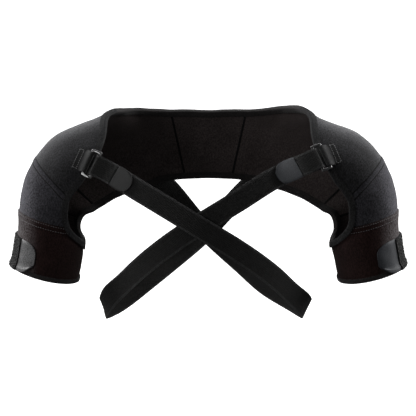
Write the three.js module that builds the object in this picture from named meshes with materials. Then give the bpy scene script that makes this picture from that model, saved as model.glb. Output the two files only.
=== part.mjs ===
// A double shoulder brace of neoprene in its worn form, hollow, with no wearer.
// Millimetres. +Z is up, the chest side faces -Y, and left and right are as seen from there.
// The origin lies on the mid-plane between the tops of the shoulders.

import * as THREE from 'three';

const { Vector3 } = THREE;

// Driving dimensions of the shell
const HALF_SPAN = 195;          // mid-plane to an arm's axis at the hem
const DROP = 199;               // origin down to an arm's axis at the hem
const SECTION_HEIGHT = 110;     // half size of the shell's sections, upright
const SECTION_DEPTH = 92;       // half size of the shell's sections, front to back
const BACK_SAG = 0.035;         // how much lower the back hangs, per mm behind the mid-plane
const WALL = 3;                 // thickness of the neoprene
const CUFF_LAP = 1.5;           // height of a cuff over the panel that it laps
const CLEAR = 0.3;              // gap between pieces that touch

// Bindings, cuff bands and cuff tabs
const BINDING_WIDTH = 7;
const BINDING_PLY = 0.7;
const BINDING_CLEAR = 1;        // gap between a binding's outer ply and the wall
const INSIDE_CLEAR = 1.1;       // gap between a binding's inner ply and the wall
const FOLD_CLEAR = 0.7;         // gap between a binding's fold and the wall's edge
const HEM_WIDTH = 5;
const BAND_HEIGHT = 38;
const BAND_HEM_GAP = 0.5;       // hem to the band's lower edge
const BAND_THICKNESS = 2.4;
const PAST_HEM = 1;             // length past the hem's binding where bands come down on the sleeve
const BAND_FRONT_ANGLE = -43;   // degrees round the arm, from the outermost line to the front
const BAND_BACK_ANGLE = 75;
const CUFF_TAB_HEIGHT = 38;
const TAB_THICKNESS = 1.2;

// Straps, rings and the webbing that holds the rings
const STRAP_WIDTH = 25;
const STRAP_THICKNESS = 1.5;
const STRAP_REACH = 120;        // mid-plane to the straps' turn at the ribs
const STRAP_DEPTH = 100;        // mid-plane to the straps' run over chest and back
const STRAP_DROP = 244;         // origin down to the straps' turn
const STRAP_FOLD = 26;          // length folded back over the ring
const STRAP_SEAT = 24;          // length sewn down on the back
const STRAP_TAB_WIDTH = 26;
const RING_LENGTH = 34;
const RING_WIDTH = 14;
const RING_BAR = 3.5;
const RING_THICKNESS = 3;
const STUB_PLY = 1.2;
const STUB_WIDTH = 26;
const STUB_LENGTH = 16;         // ring bar to the sewn end
const STUB_OVER = 2;            // how far the webbing runs on past the binding
const STUB_DROP = 3;            // length over which it comes down on the panel
const STRAP_SLOPE = 25;         // degrees that a strap falls as it leaves its ring
const RING_TIP = 12;            // degrees that a ring turns forward off the panel
const EDGE_END_GAP = 0.15;      // station left free between two bindings at an armpit

// Sections of the shell from the spine to one hem. The centres are shares of HALF_SPAN and
// DROP, rise and fall are shares of SECTION_HEIGHT, fore and aft are shares of SECTION_DEPTH.
// Tilt turns a section from upright towards the arm, lean drops its front side, and front and
// back are the angles at which its edges lie, all in degrees. Steps is the number of strips
// up to the next section.
const SECTION_COLUMNS = [
  'name', 'across', 'down', 'tilt', 'lean', 'rise', 'fall', 'fore', 'aft', 'front', 'back', 'steps',
];
const SECTION_ROWS = [
  ['spine', 0, 0.375, 0, 0, 1, 1.36, 0.65, 1, 50.5, 95, 3],
  ['back seam', 0.165, 0.375, 12, 0, 1.02, 1.36, 0.65, 1, 50.3, 95.5, 2],
  ['scapula', 0.318, 0.36, 20, 0, 0.845, 1.33, 0.6, 1, 35, 98.4, 3],
  ['nape', 0.375, 0.352, 23, 0, 0.73, 1.29, 0.56, 0.98, 22, 100.5, 3],
  ['neck', 0.43, 0.345, 26, 0, 0.655, 1.27, 0.57, 0.962, 2, 103.5, 5],
  ['throat', 0.513, 0.35, 29.5, 0.5, 0.6, 1.22, 0.6, 0.928, -49, 105.5, 2],
  ['collar', 0.596, 0.359, 33, 1, 0.564, 1.18, 0.652, 0.891, -72, 107.5, 3],
  ['shoulder', 0.772, 0.389, 40, 2, 0.5, 1, 0.641, 0.783, -95.7, 115.9, 2],
  ['dart seam', 0.888, 0.488, 45, 3, 0.455, 0.864, 0.62, 0.696, -100, 118.3, 2],
  ['deltoid', 0.932, 0.57, 60, 4, 0.418, 0.545, 0.587, 0.63, -110.5, 130.5, 2],
  ['cuff seam', 0.948, 0.67, 75, 5.5, 0.39, 0.4, 0.554, 0.576, -122, 132, 2],
  ['notch', 0.953, 0.726, 75, 5.5, 0.38, 0.358, 0.545, 0.55, -148, 139, 4],
  ['armpit', 0.96, 0.78, 75, 5.5, 0.375, 0.36, 0.543, 0.543, -180, 180, 3],
  ['hem', 1, 1, 75, 5.5, 0.371, 0.349, 0.538, 0.538, -180, 180, 0],
];
const SECTIONS = SECTION_ROWS.map((row) => (
  Object.fromEntries(SECTION_COLUMNS.map((column, i) => [column, row[i]]))
));
const ODD_COLUMNS = ['across', 'tilt'];
const EDGE_COLUMNS = ['front', 'back'];

// Soft dents in the neoprene. Side is -1 on the left. Along is a share of the length from the
// spine to the hem, angle, reach and spread are in degrees and mm round and along the shell.
const DENTS = [
  { side: -1, along: 0.36, angle: -48, depth: 2.5, reach: 9, spread: 26 },
  { side: -1, along: 0.655, angle: -72, depth: 3, reach: 10, spread: 24 },
  { side: -1, along: 0.6, angle: -84, depth: -2, reach: 9, spread: 18 },
  { side: 1, along: 0.38, angle: -52, depth: 2.5, reach: 10, spread: 26 },
  { side: 1, along: 0.665, angle: -66, depth: 3, reach: 10, spread: 28 },
  { side: 1, along: 0.59, angle: -54, depth: -2, reach: 10, spread: 26 },
];

// How finely the rest is divided
const AROUND_STEPS = 18;
const STRAP_STEP = 13;

// The straps' routes between ring and back, for the strap that starts on the left. Across,
// fore and down are shares of STRAP_REACH, STRAP_DEPTH and STRAP_DROP. Lean turns the face
// up, in degrees.
const LEFT_ROUTE = [
  { across: -0.742, fore: 0.86, down: 0.363, lean: 12 },
  { across: -0.412, fore: 0.97, down: 0.457, lean: 4 },
  { across: -0.07, fore: 1.04, down: 0.557, lean: 0 },
  { across: 0.277, fore: 1.01, down: 0.661, lean: 0 },
  { across: 0.65, fore: 0.86, down: 0.801, lean: -4 },
  { across: 0.883, fore: 0.5, down: 0.934, lean: -14 },
  { across: 0.975, fore: 0, down: 1, lean: -25 },
  { across: 0.833, fore: -0.35, down: 0.976, lean: -16 },
  { across: 0.588, fore: -0.6, down: 0.916, lean: -8 },
  { across: 0.333, fore: -0.81, down: 0.812, lean: -3 },
  { across: 0.051, fore: -0.92, down: 0.69, lean: 0 },
  { across: -0.152, fore: -0.95, down: 0.587, lean: 0 },
];
const RIGHT_ROUTE = [
  { across: -0.63, fore: 0.88, down: 0.326, lean: 12 },
  { across: -0.32, fore: 0.965, down: 0.42, lean: 4 },
  { across: 0, fore: 1.005, down: 0.515, lean: 0 },
  { across: 0.3, fore: 0.97, down: 0.61, lean: 0 },
  { across: 0.66, fore: 0.82, down: 0.754, lean: -4 },
  { across: 0.92, fore: 0.45, down: 0.9, lean: -12 },
  { across: 1.04, fore: 0, down: 1, lean: -20 },
  { across: 0.889, fore: -0.35, down: 0.979, lean: -14 },
  { across: 0.6, fore: -0.62, down: 0.88, lean: -7 },
  { across: 0.35, fore: -0.84, down: 0.79, lean: -3 },
  { across: 0.1, fore: -1, down: 0.691, lean: 0 },
  { across: -0.13, fore: -1.03, down: 0.575, lean: 0 },
];
// Outlines of the tabs. Along is a share of the length, the others of half the height or width.
const CUFF_TAB_OUTLINE = [
  { along: 0, top: 1, bottom: 1 },
  { along: 0.25, top: 1, bottom: 1 },
  { along: 0.5, top: 1, bottom: 1 },
  { along: 0.75, top: 0.98, bottom: 0.9 },
  { along: 0.9, top: 0.9, bottom: 0.72 },
  { along: 1, top: 0.68, bottom: 0.45 },
];
const STRAP_TAB_OUTLINE = [
  { along: 0, half: 0.96 },
  { along: 0.1, half: 1 },
  { along: 0.35, half: 1 },
  { along: 0.6, half: 1 },
  { along: 0.8, half: 0.93 },
  { along: 0.93, half: 0.76 },
  { along: 1, half: 0.5 },
];

const RING_PLACE = { left: 0.36, right: 0.16 };   // share of the way from collar to shoulder
const SEAT_PLACE = { left: 0.05, right: 0 };      // share of the way from scapula to nape
const STRAP_TAB_LENGTH = { left: 25, right: 30 };
const CUFF_TAB_LENGTH = { left: 25, right: 31 };

// Small helpers
const radians = THREE.MathUtils.degToRad;
const mix = THREE.MathUtils.lerp;
const smooth = THREE.MathUtils.smoothstep;

// A smooth curve through values at knots. A steady one never swings past its values.
function spline(knots, values, steady = false) {
  const last = values.length - 1;
  const rate = (i) => (values[i + 1] - values[i]) / (knots[i + 1] - knots[i]);
  const slopes = values.map((_, i) => {
    if (i === 0) return rate(0);
    if (i === last) return rate(last - 1);
    if (steady && rate(i - 1) * rate(i) <= 0) return 0;
    if (steady) return 2 * rate(i - 1) * rate(i) / (rate(i - 1) + rate(i));
    const before = knots[i] - knots[i - 1];
    const after = knots[i + 1] - knots[i];
    return (rate(i - 1) * after + rate(i) * before) / (before + after);
  });
  return (x) => {
    let i = 0;
    while (i < last - 1 && x > knots[i + 1]) i += 1;
    const length = knots[i + 1] - knots[i];
    const t = (x - knots[i]) / length;
    const bend = values[i] * (1 + 2 * t) * (1 - t) ** 2 + values[i + 1] * t * t * (3 - 2 * t);
    return bend + length * (slopes[i] * t * (1 - t) ** 2 - slopes[i + 1] * t * t * (1 - t));
  };
}

// A station is the length along the sections' centres from the spine, negative on the left.
const STATIONS = SECTIONS.map(() => 0);
for (let i = 1; i < SECTIONS.length; i += 1) {
  const across = (SECTIONS[i].across - SECTIONS[i - 1].across) * HALF_SPAN;
  const down = (SECTIONS[i].down - SECTIONS[i - 1].down) * DROP;
  STATIONS[i] = STATIONS[i - 1] + Math.hypot(across, down);
}

function stationOf(name) {
  return STATIONS[SECTIONS.findIndex((section) => section.name === name)];
}

// The stations at which the shell is divided, between two sections
function stationsFrom(first, last) {
  const names = SECTIONS.map((section) => section.name);
  const stations = [stationOf(first)];
  for (let i = names.indexOf(first); i < names.indexOf(last); i += 1) {
    for (let k = 1; k <= SECTIONS[i].steps; k += 1) {
      stations.push(mix(STATIONS[i], STATIONS[i + 1], k / SECTIONS[i].steps));
    }
  }
  return stations;
}

function bothSides(stations) {
  return [...stations.slice(1).reverse().map((station) => -station), ...stations];
}

const CUFF_SEAM = stationOf('cuff seam');
const ARMPIT = stationOf('armpit');
const HEM = stationOf('hem');

// Each column runs smoothly across the spine, so its first row is mirrored in front of it.
const COLUMNS = {};
for (const column of SECTION_COLUMNS.slice(1, -1)) {
  const sign = ODD_COLUMNS.includes(column) ? -1 : 1;
  const isEdge = EDGE_COLUMNS.includes(column);
  const count = isEdge ? STATIONS.indexOf(ARMPIT) + 1 : SECTIONS.length;
  const knots = [-STATIONS[1], ...STATIONS.slice(0, count)];
  const values = SECTIONS.slice(0, count).map((section) => section[column]);
  COLUMNS[column] = spline(knots, [sign * values[1], ...values], isEdge);
}

function edgeAngle(station, edge) {
  const along = Math.abs(station);
  if (along >= ARMPIT) return edge === 'front' ? -180 : 180;
  return COLUMNS[edge](along);
}

function dentAt(station, angle) {
  return DENTS.reduce((sum, dent) => {
    const along = (station - dent.side * dent.along * HEM) / dent.reach;
    const round = (angle - dent.angle) / dent.spread;
    return sum + dent.depth * Math.exp(-along * along - round * round);
  }, 0);
}

function basePoint(station, angle) {
  const along = Math.abs(station);
  const tilt = radians(COLUMNS.tilt(along));
  const lean = radians(COLUMNS.lean(along));
  const turn = radians(angle);
  const up = new Vector3(Math.sin(tilt), 0, Math.cos(tilt));
  const inwards = new Vector3(-Math.cos(tilt), 0, Math.sin(tilt));
  const aft = new Vector3(0, Math.cos(lean), 0).addScaledVector(inwards, Math.sin(lean));
  const height = Math.cos(turn) > 0 ? COLUMNS.rise(along) : COLUMNS.fall(along);
  const depth = Math.sin(turn) > 0 ? COLUMNS.aft(along) : COLUMNS.fore(along);
  const point = new Vector3(COLUMNS.across(along) * HALF_SPAN, 0, -COLUMNS.down(along) * DROP);
  const dent = dentAt(station, angle);
  point.addScaledVector(up, (height * SECTION_HEIGHT - dent) * Math.cos(turn));
  point.addScaledVector(aft, (depth * SECTION_DEPTH - dent) * Math.sin(turn));
  point.z -= BACK_SAG * point.y;
  if (station < 0) point.x = -point.x;
  return point;
}

// The shell's outer face at a station and angle: the point, its outward normal and how fast
// it moves per mm of station and per degree.
function shellAt(station, angle) {
  const step = 0.5;
  const point = basePoint(station, angle);
  const perStation = basePoint(station + step, angle).sub(basePoint(station - step, angle));
  const perAngle = basePoint(station, angle + step).sub(basePoint(station, angle - step));
  const normal = perStation.clone().cross(perAngle).normalize();
  const centre = new Vector3(0, 0, -COLUMNS.down(Math.abs(station)) * DROP);
  centre.x = Math.sign(station) * COLUMNS.across(Math.abs(station)) * HALF_SPAN;
  if (normal.dot(point.clone().sub(centre)) < 0) normal.negate();
  return { point, normal, perStation, perAngle };
}

function shellPoint(station, angle, height) {
  const { point, normal } = shellAt(station, angle);
  return point.addScaledVector(normal, height);
}

// A closed solid from triangles, turned so that its faces point out
function solidFrom(triangles) {
  const volume = triangles.reduce((sum, [a, b, c]) => sum + a.dot(b.clone().cross(c)), 0);
  const positions = [];
  for (const [a, b, c] of triangles) {
    const corners = volume < 0 ? [a, c, b] : [a, b, c];
    for (const corner of corners) positions.push(corner.x, corner.y, corner.z);
  }
  const geometry = new THREE.BufferGeometry();
  geometry.setAttribute('position', new THREE.Float32BufferAttribute(positions, 3));
  geometry.computeVertexNormals();
  return geometry;
}

// Two triangles for a quad, parted along its shorter diagonal
function pushQuad(triangles, a, b, c, d) {
  if (a.distanceTo(c) <= b.distanceTo(d)) triangles.push([a, b, c], [a, c, d]);
  else triangles.push([a, b, d], [b, c, d]);
}

// The wall between an outer and an inner grid of points. From the row openRows on, the first
// and last columns are one line, so the wall closes round there.
function wallBetween(outer, inner, openRows = outer.length - 1) {
  const triangles = [];
  const lastRow = outer.length - 1;
  const lastColumn = outer[0].length - 1;
  for (let i = 0; i < lastRow; i += 1) {
    for (let j = 0; j < lastColumn; j += 1) {
      pushQuad(triangles, outer[i][j], outer[i + 1][j], outer[i + 1][j + 1], outer[i][j + 1]);
      pushQuad(triangles, inner[i][j], inner[i][j + 1], inner[i + 1][j + 1], inner[i + 1][j]);
    }
  }
  for (let j = 0; j < lastColumn; j += 1) {
    pushQuad(triangles, outer[0][j], outer[0][j + 1], inner[0][j + 1], inner[0][j]);
    pushQuad(triangles, inner[lastRow][j], inner[lastRow][j + 1], outer[lastRow][j + 1], outer[lastRow][j]);
  }
  for (let i = 0; i < openRows; i += 1) {
    pushQuad(triangles, outer[i + 1][0], outer[i][0], inner[i][0], inner[i + 1][0]);
    const here = [outer[i][lastColumn], inner[i][lastColumn]];
    const next = [outer[i + 1][lastColumn], inner[i + 1][lastColumn]];
    pushQuad(triangles, here[0], next[0], next[1], here[1]);
  }
  return solidFrom(triangles);
}

// A solid swept through rings of as many points each, closed on itself or capped at its ends.
// Caps lists the triangles of an end face as indices into a ring.
function sweepRings(rings, caps) {
  const triangles = [];
  const count = rings[0].length;
  const last = caps ? rings.length - 1 : rings.length;
  for (let i = 0; i < last; i += 1) {
    const here = rings[i];
    const next = rings[(i + 1) % rings.length];
    for (let j = 0; j < count; j += 1) {
      const k = (j + 1) % count;
      pushQuad(triangles, here[j], here[k], next[k], next[j]);
    }
  }
  for (const [a, b, c] of caps ?? []) {
    const end = rings[rings.length - 1];
    triangles.push([rings[0][c], rings[0][b], rings[0][a]], [end[a], end[b], end[c]]);
  }
  return solidFrom(triangles);
}

const parts = new THREE.Group();

function addPart(name, geometry, material) {
  const mesh = new THREE.Mesh(geometry, new THREE.MeshStandardMaterial(material));
  mesh.name = name;
  parts.add(mesh);
}

const KNIT = { color: 0x3b3b3e, roughness: 0.95, metalness: 0 };
const BINDING = { color: 0x2c2c2e, roughness: 0.9, metalness: 0 };
const LOOP = { color: 0x141415, roughness: 1, metalness: 0 };
const HOOK = { color: 0x4b4c50, roughness: 0.6, metalness: 0 };
const ELASTIC = { color: 0x232325, roughness: 0.9, metalness: 0 };
const RING = { color: 0x0f0f10, roughness: 0.25, metalness: 0 };

// Neoprene panels
function panelGrid(stations, height, gaps) {
  return stations.map((station, i) => {
    const front = edgeAngle(station, 'front');
    const back = edgeAngle(station, 'back');
    const shift = (i === 0 ? gaps[0] : 0) - (i === stations.length - 1 ? gaps[1] : 0);
    const points = [];
    for (let j = 0; j <= AROUND_STEPS; j += 1) {
      const { point, normal, perStation } = shellAt(station, mix(front, back, j / AROUND_STEPS));
      point.addScaledVector(normal, height);
      points.push(point.addScaledVector(perStation.normalize(), shift));
    }
    return points;
  });
}

function evenStations(from, to, steps) {
  return Array.from({ length: steps + 1 }, (_, i) => mix(from, to, i / steps));
}

function addPanel(name, stations, height, gaps, openRows) {
  const outer = panelGrid(stations, height, gaps);
  const inner = panelGrid(stations, height - WALL, gaps);
  addPart(name, wallBetween(outer, inner, openRows), KNIT);
}

const HALF_GAP = CLEAR / 2;
const BACK = bothSides(stationsFrom('spine', 'back seam'));
addPanel('back_panel', BACK, 0, [HALF_GAP, HALF_GAP]);

function addSidePanels(name, side) {
  const gap = side * HALF_GAP;
  const sided = (stations) => stations.map((station) => side * station);
  const notch = stationsFrom('cuff seam', 'armpit');
  addPanel(`${name}_shoulder_panel`, sided(stationsFrom('back seam', 'dart seam')), 0, [gap, gap]);
  addPanel(`${name}_deltoid_panel`, sided(stationsFrom('dart seam', 'cuff seam')), 0, [gap, gap]);
  addPanel(`${name}_cuff`, sided(stationsFrom('cuff seam', 'hem')), CUFF_LAP, [gap, 0], notch.length - 1);
}

// Bindings: a ply folded over an edge, as a channel of nine points per ring
const CHANNEL_CAPS = [[0, 1, 7], [0, 7, 8], [1, 2, 7], [2, 6, 7], [2, 3, 6], [3, 4, 5], [3, 5, 6]];

function stepInSurface(frame, direction) {
  const { perStation, perAngle } = frame;
  const ss = perStation.dot(perStation);
  const aa = perAngle.dot(perAngle);
  const sa = perStation.dot(perAngle);
  const toStation = direction.dot(perStation);
  const toAngle = direction.dot(perAngle);
  const share = 1 / (ss * aa - sa * sa);
  return [(toStation * aa - toAngle * sa) * share, (toAngle * ss - toStation * sa) * share];
}

// How far a binding stands off the shell outside and inside, where it climbs over a cuff
function outerStep(station) {
  return CUFF_LAP * smooth(Math.abs(station), CUFF_SEAM - 2 * BINDING_WIDTH, CUFF_SEAM - BINDING_WIDTH);
}

function innerStep(station) {
  return CUFF_LAP * smooth(Math.abs(station), CUFF_SEAM + BINDING_WIDTH, CUFF_SEAM + 2 * BINDING_WIDTH);
}

function channelRing(station, angle, along, inside, width) {
  const frame = shellAt(station, angle);
  const outwards = frame.normal.clone().cross(along).normalize();
  if (outwards.dot(inside.clone().sub(frame.point)) > 0) outwards.negate();
  const [moved, turned] = stepInSurface(frame, outwards.clone().multiplyScalar(-width));
  const inset = (height) => shellPoint(station + moved, angle + turned, height);
  const edge = (out, height) => frame.point.clone()
    .addScaledVector(outwards, out)
    .addScaledVector(frame.normal, height);
  const top = BINDING_CLEAR + outerStep(station);
  const insetTop = BINDING_CLEAR + outerStep(station + moved);
  const bottom = innerStep(station) - WALL - INSIDE_CLEAR;
  const insetBottom = innerStep(station + moved) - WALL - INSIDE_CLEAR;
  return [
    inset(insetTop + BINDING_PLY),
    edge(FOLD_CLEAR, top + BINDING_PLY),
    edge(FOLD_CLEAR + BINDING_PLY, -WALL / 2),
    edge(FOLD_CLEAR, bottom - BINDING_PLY),
    inset(insetBottom - BINDING_PLY),
    inset(insetBottom),
    edge(FOLD_CLEAR, bottom),
    edge(FOLD_CLEAR, top),
    inset(insetTop),
  ];
}

function addEdgeBinding(name, edge) {
  const half = stationsFrom('spine', 'armpit');
  half[half.length - 1] -= EDGE_END_GAP;
  const stations = bothSides(half);
  const edgePoint = (station) => basePoint(station, edgeAngle(station, edge));
  const rings = stations.map((station, i) => {
    const isEnd = i === 0 || i === stations.length - 1;
    const reach = EDGE_END_GAP / 2;
    const slope = edgePoint(station + reach).sub(edgePoint(station - reach));
    const along = isEnd ? shellAt(station, edgeAngle(station, edge)).perAngle : slope;
    const middle = (edgeAngle(station, 'front') + edgeAngle(station, 'back')) / 2;
    const inside = basePoint(station, mix(edgeAngle(station, edge), middle, 0.2));
    if (isEnd) inside.copy(basePoint(station + Math.sign(station), edgeAngle(station, edge)));
    return channelRing(station, edgeAngle(station, edge), along, inside, BINDING_WIDTH);
  });
  addPart(name, sweepRings(rings, CHANNEL_CAPS), BINDING);
}

const SLEEVE_ANGLES = evenStations(-180, 180, AROUND_STEPS);

function addHemBinding(name, side) {
  const station = side * HEM;
  const rings = SLEEVE_ANGLES.slice(0, -1).map((angle) => {
    const inside = basePoint(station - side * HEM_WIDTH, angle);
    return channelRing(station, angle, shellAt(station, angle).perAngle, inside, HEM_WIDTH);
  });
  addPart(name, sweepRings(rings), BINDING);
}

// Bands and tabs that lie round a sleeve. They clear the hem's binding and line up with the
// sleeve's own facets.
function sleevePoint(side, fromHem, angle, height) {
  const overHem = fromHem < HEM_WIDTH + PAST_HEM ? BINDING_PLY + BINDING_CLEAR : 0;
  return shellPoint(side * (HEM - fromHem), angle, CUFF_LAP + CLEAR + overHem + height);
}

function sleeveAngles(from, to) {
  const between = SLEEVE_ANGLES.filter((angle) => angle > from + 1 && angle < to - 1);
  return [from, ...between, to];
}

function sleeveLevels(low, high) {
  const overHem = Math.max(HEM_WIDTH, low + PAST_HEM / 2);
  const pastHem = Math.max(HEM_WIDTH + 2 * PAST_HEM, low + PAST_HEM);
  return [low, overHem, pastHem, (pastHem + high) / 2, high];
}

function addBand(name, side) {
  const heights = sleeveLevels(BAND_HEM_GAP, BAND_HEM_GAP + BAND_HEIGHT);
  const angles = sleeveAngles(BAND_FRONT_ANGLE, BAND_BACK_ANGLE);
  const grid = (height) => angles.map((angle) => heights.map((h) => sleevePoint(side, h, angle, height)));
  addPart(name, wallBetween(grid(BAND_THICKNESS), grid(0)), LOOP);
}

function addCuffTab(name, side, length) {
  const speed = shellAt(side * HEM, BAND_FRONT_ANGLE).perAngle.length();
  const root = BAND_FRONT_ANGLE - CLEAR / speed;
  const middle = BAND_HEM_GAP + CUFF_TAB_HEIGHT / 2;
  const rows = CUFF_TAB_OUTLINE.map(({ along, top, bottom }) => {
    const angle = root - along * length / speed;
    const low = middle - bottom * CUFF_TAB_HEIGHT / 2;
    const high = middle + top * CUFF_TAB_HEIGHT / 2;
    return { angle, levels: sleeveLevels(low, high) };
  });
  const grid = (height) => rows.map(({ angle, levels }) => (
    levels.map((level) => sleevePoint(side, level, angle, height))
  ));
  addPart(name, wallBetween(grid(TAB_THICKNESS), grid(0)), HOOK);
}

const LOOP_HALF_HEIGHT = RING_THICKNESS / 2 + CLEAR + STUB_PLY;
const RING_BEVEL = RING_THICKNESS / 5;

// Rings: each lies over the front edge of its panel, turned a little forward
function ringFrame(side, place) {
  const station = side * mix(stationOf('collar'), stationOf('shoulder'), place);
  const anchor = shellAt(station, edgeAngle(station, 'front'));
  const slope = radians(STRAP_SLOPE);
  const towards = new Vector3(-side * Math.cos(slope), 0, -Math.sin(slope));
  towards.addScaledVector(anchor.normal, -towards.dot(anchor.normal)).normalize();
  const upwards = anchor.normal.clone().cross(towards).normalize();
  if (upwards.z < 0) upwards.negate();
  const tip = radians(RING_TIP);
  const outwards = anchor.normal.clone();
  const facing = outwards.clone().multiplyScalar(Math.cos(tip)).addScaledVector(towards, -Math.sin(tip));
  const across = towards.clone().multiplyScalar(Math.cos(tip)).addScaledVector(outwards, Math.sin(tip));
  const barReach = (RING_WIDTH - RING_BAR) / 2;
  const loopHeight = BINDING_CLEAR + BINDING_PLY + CLEAR + LOOP_HALF_HEIGHT;
  const centre = anchor.point.clone().addScaledVector(outwards, loopHeight + barReach * Math.sin(tip));
  return { station, anchor, towards, upwards, outwards, facing, across, centre, barReach };
}

function roundedOutline(target, length, width, radius) {
  const x = width / 2;
  const y = length / 2;
  target.moveTo(-x + radius, -y);
  target.lineTo(x - radius, -y).absarc(x - radius, -y + radius, radius, -Math.PI / 2, 0);
  target.lineTo(x, y - radius).absarc(x - radius, y - radius, radius, 0, Math.PI / 2);
  target.lineTo(-x + radius, y).absarc(-x + radius, y - radius, radius, Math.PI / 2, Math.PI);
  target.lineTo(-x, -y + radius).absarc(-x + radius, -y + radius, radius, Math.PI, Math.PI * 1.5);
  return target;
}

function addRing(name, frame) {
  const bevel = RING_BEVEL;
  const length = RING_LENGTH - 2 * bevel;
  const width = RING_WIDTH - 2 * bevel;
  const shape = roundedOutline(new THREE.Shape(), length, width, RING_BAR / 2);
  const slotLength = RING_LENGTH - 2 * RING_BAR + 2 * bevel;
  const slotWidth = RING_WIDTH - 2 * RING_BAR + 2 * bevel;
  shape.holes.push(roundedOutline(new THREE.Path(), slotLength, slotWidth, RING_BAR / 4));
  const geometry = new THREE.ExtrudeGeometry(shape, {
    depth: RING_THICKNESS - 2 * bevel,
    bevelThickness: bevel,
    bevelSize: bevel,
    bevelSegments: 1,
    curveSegments: 1,
  });
  geometry.translate(0, 0, bevel - RING_THICKNESS / 2);
  const { across, upwards, facing, centre } = frame;
  const upright = facing.clone().cross(across);
  geometry.applyMatrix4(new THREE.Matrix4().makeBasis(across, upright, facing).setPosition(centre));
  addPart(name, geometry, RING);
}

// Stubs: two plies of webbing sewn on a panel, which open into a loop round the ring's bar
function barOutline(out) {
  const x = RING_BAR / 2 + out;
  const y = RING_THICKNESS / 2 + out;
  const corner = RING_BEVEL + (2 - Math.SQRT2) * out;
  return [[x - corner, y], [corner - x, y], [-x, y - corner], [-x, corner - y], [corner - x, -y],
    [x - corner, -y], [x, corner - y], [x, y - corner]];
}

function addStub(name, frame) {
  const { station, anchor, towards, upwards, across, facing, centre, barReach } = frame;
  const bar = centre.clone().addScaledVector(across, -barReach);
  const barAlong = bar.clone().sub(anchor.point).dot(towards);
  const barHeight = bar.clone().sub(anchor.point).dot(anchor.normal);

  function shellUnder(along, up) {
    const target = anchor.point.clone().addScaledVector(towards, along).addScaledVector(upwards, up);
    const place = [station, edgeAngle(station, 'front')];
    for (let i = 0; i < 8; i += 1) {
      const here = shellAt(...place);
      const [moved, turned] = stepInSurface(here, target.clone().sub(here.point));
      place[0] += moved;
      place[1] += turned;
    }
    return shellAt(...place);
  }

  const pastBinding = barAlong + BINDING_WIDTH + STUB_OVER;
  const onPanel = pastBinding + STUB_DROP;
  const middle = (onPanel + STUB_LENGTH) / 2;
  const top = CLEAR + 2 * STUB_PLY;
  const draped = (s, height) => ({ s, height, h: height - barHeight, rigid: false });
  const rigid = ([s, h]) => ({ s, h, rigid: true });
  const contour = [
    draped(STUB_LENGTH, top),
    draped(middle, top),
    draped(onPanel, top),
    ...barOutline(CLEAR + STUB_PLY).slice(0, 6).map(rigid),
    draped(pastBinding, BINDING_CLEAR + BINDING_PLY + CLEAR),
    draped(onPanel, CLEAR),
    draped(middle, CLEAR),
    draped(STUB_LENGTH, CLEAR),
  ];
  const hole = barOutline(CLEAR).map(rigid);
  const place = ({ s, h, height, rigid: stiff }, up) => {
    if (stiff) {
      return bar.clone().addScaledVector(across, -s).addScaledVector(facing, h).addScaledVector(upwards, up);
    }
    const under = shellUnder(barAlong - s, up);
    return under.point.clone().addScaledVector(under.normal, height);
  };
  const columns = evenStations(-STUB_WIDTH / 2, STUB_WIDTH / 2, 4);
  const outer = columns.map((up) => contour.map((point) => place(point, up)));
  const inner = columns.map((up) => hole.map((point) => place(point, up)));
  const triangles = [];
  for (let i = 0; i < columns.length - 1; i += 1) {
    for (const grid of [outer, inner]) {
      const count = grid[0].length;
      for (let j = 0; j < count; j += 1) {
        const k = (j + 1) % count;
        const corners = [grid[i][j], grid[i][k], grid[i + 1][k], grid[i + 1][j]];
        pushQuad(triangles, ...(grid === outer ? corners : corners.reverse()));
      }
    }
  }
  const flat = (points) => points.map(({ s, h }) => new THREE.Vector2(s, h));
  const faces = THREE.ShapeUtils.triangulateShape(flat(contour), [flat(hole)]);
  const first = [...outer[0], ...inner[0]];
  const last = [...outer[columns.length - 1], ...inner[columns.length - 1]];
  const turned = THREE.ShapeUtils.isClockWise(flat(contour));
  for (const [a, b, c] of faces) {
    const [p, q] = turned ? [c, a] : [a, c];
    triangles.push([first[q], first[b], first[p]], [last[p], last[b], last[q]]);
  }
  addPart(name, solidFrom(triangles), ELASTIC);
}

// Straps: each runs from behind its ring, across the chest, round the ribs and up the back
const FOLD_DEPTH = RING_THICKNESS / 2 + 2 * CLEAR + STRAP_THICKNESS / 2;
const FOLD_REACH = RING_BAR / 2 + 2 * CLEAR + STRAP_THICKNESS / 2;
const STRAP_LEAD = 12;          // length that leaves a ring squarely
const FOLD_TAPER = 16;          // length over which the folded layer comes down on the strap

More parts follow.
